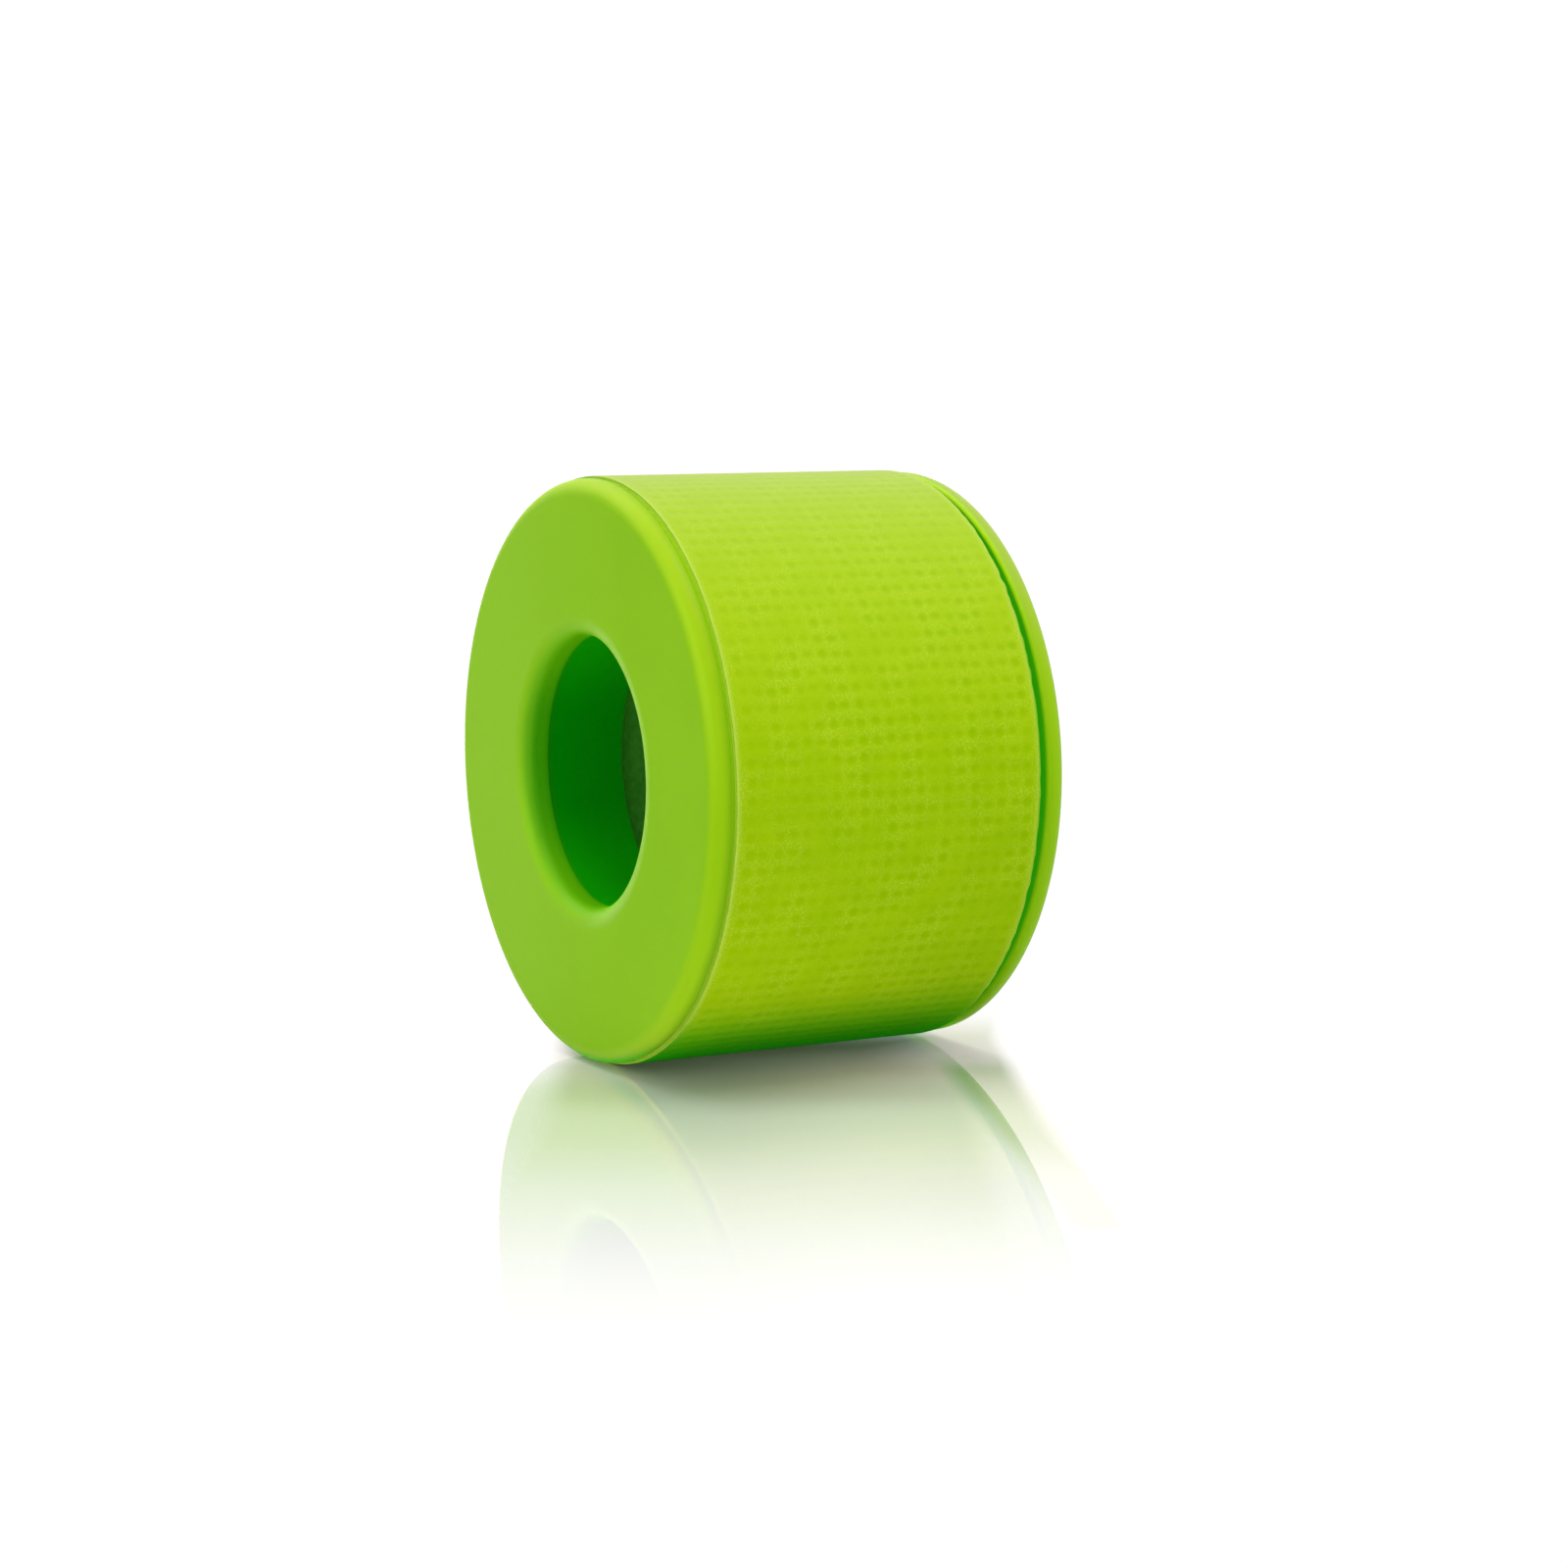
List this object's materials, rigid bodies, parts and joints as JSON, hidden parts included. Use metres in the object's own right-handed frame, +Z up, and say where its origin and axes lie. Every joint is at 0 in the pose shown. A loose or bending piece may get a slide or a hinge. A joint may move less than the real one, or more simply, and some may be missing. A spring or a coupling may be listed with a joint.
{
  "type": "adhesive tape roll on flanged spool",
  "caption": "Roll of adhesive tape wound on a paperboard core between plug-in flanged plastic caps, with a free end that peels up.",
  "frame": {"origin": "on the spool's axis, half way between the outer faces of the two caps", "axes": "+Y along the spool's axis, from the front cap to the rear cap; +Z up with the roll lying on its side; +X completes the frame. The tape's free end is on the -X side."},
  "size_m": [0.044, 0.0292, 0.0439],
  "materials": {
    "cap_plastic": "satin moulded polypropylene, lime green",
    "core_board": "spiral-wound paperboard, dyed green",
    "tape_backing": "embossed non-woven, lime green",
    "tape_adhesive": "clear silicone gel"
  },
  "bodies": {
    "wound_roll": {"core_tube": "core_board", "wound_tape": "tape_backing", "outer_turn_adhesive": "tape_adhesive", "outer_turn_backing": "tape_backing"},
    "front_cap": {"front_cap": "cap_plastic"},
    "rear_cap": {"rear_cap": "cap_plastic"},
    "free_end": {"free_end_adhesive": "tape_adhesive", "free_end_backing": "tape_backing"}
  },
  "joints": [
    {"name": "front_cap_pull", "type": "slide", "parent": "wound_roll", "child": "front_cap", "axis": [0, -1, 0], "range_m": [0, 0.015]},
    {"name": "rear_cap_pull", "type": "slide", "parent": "wound_roll", "child": "rear_cap", "axis": [0, 1, 0], "range_m": [0, 0.015]},
    {"name": "free_end_peel", "type": "hinge", "parent": "wound_roll", "child": "free_end", "pos_m": [-0.01903, -0.00037, 0.01081], "axis": [0, 1, 0], "range_deg": [0, 100]}
  ]
}
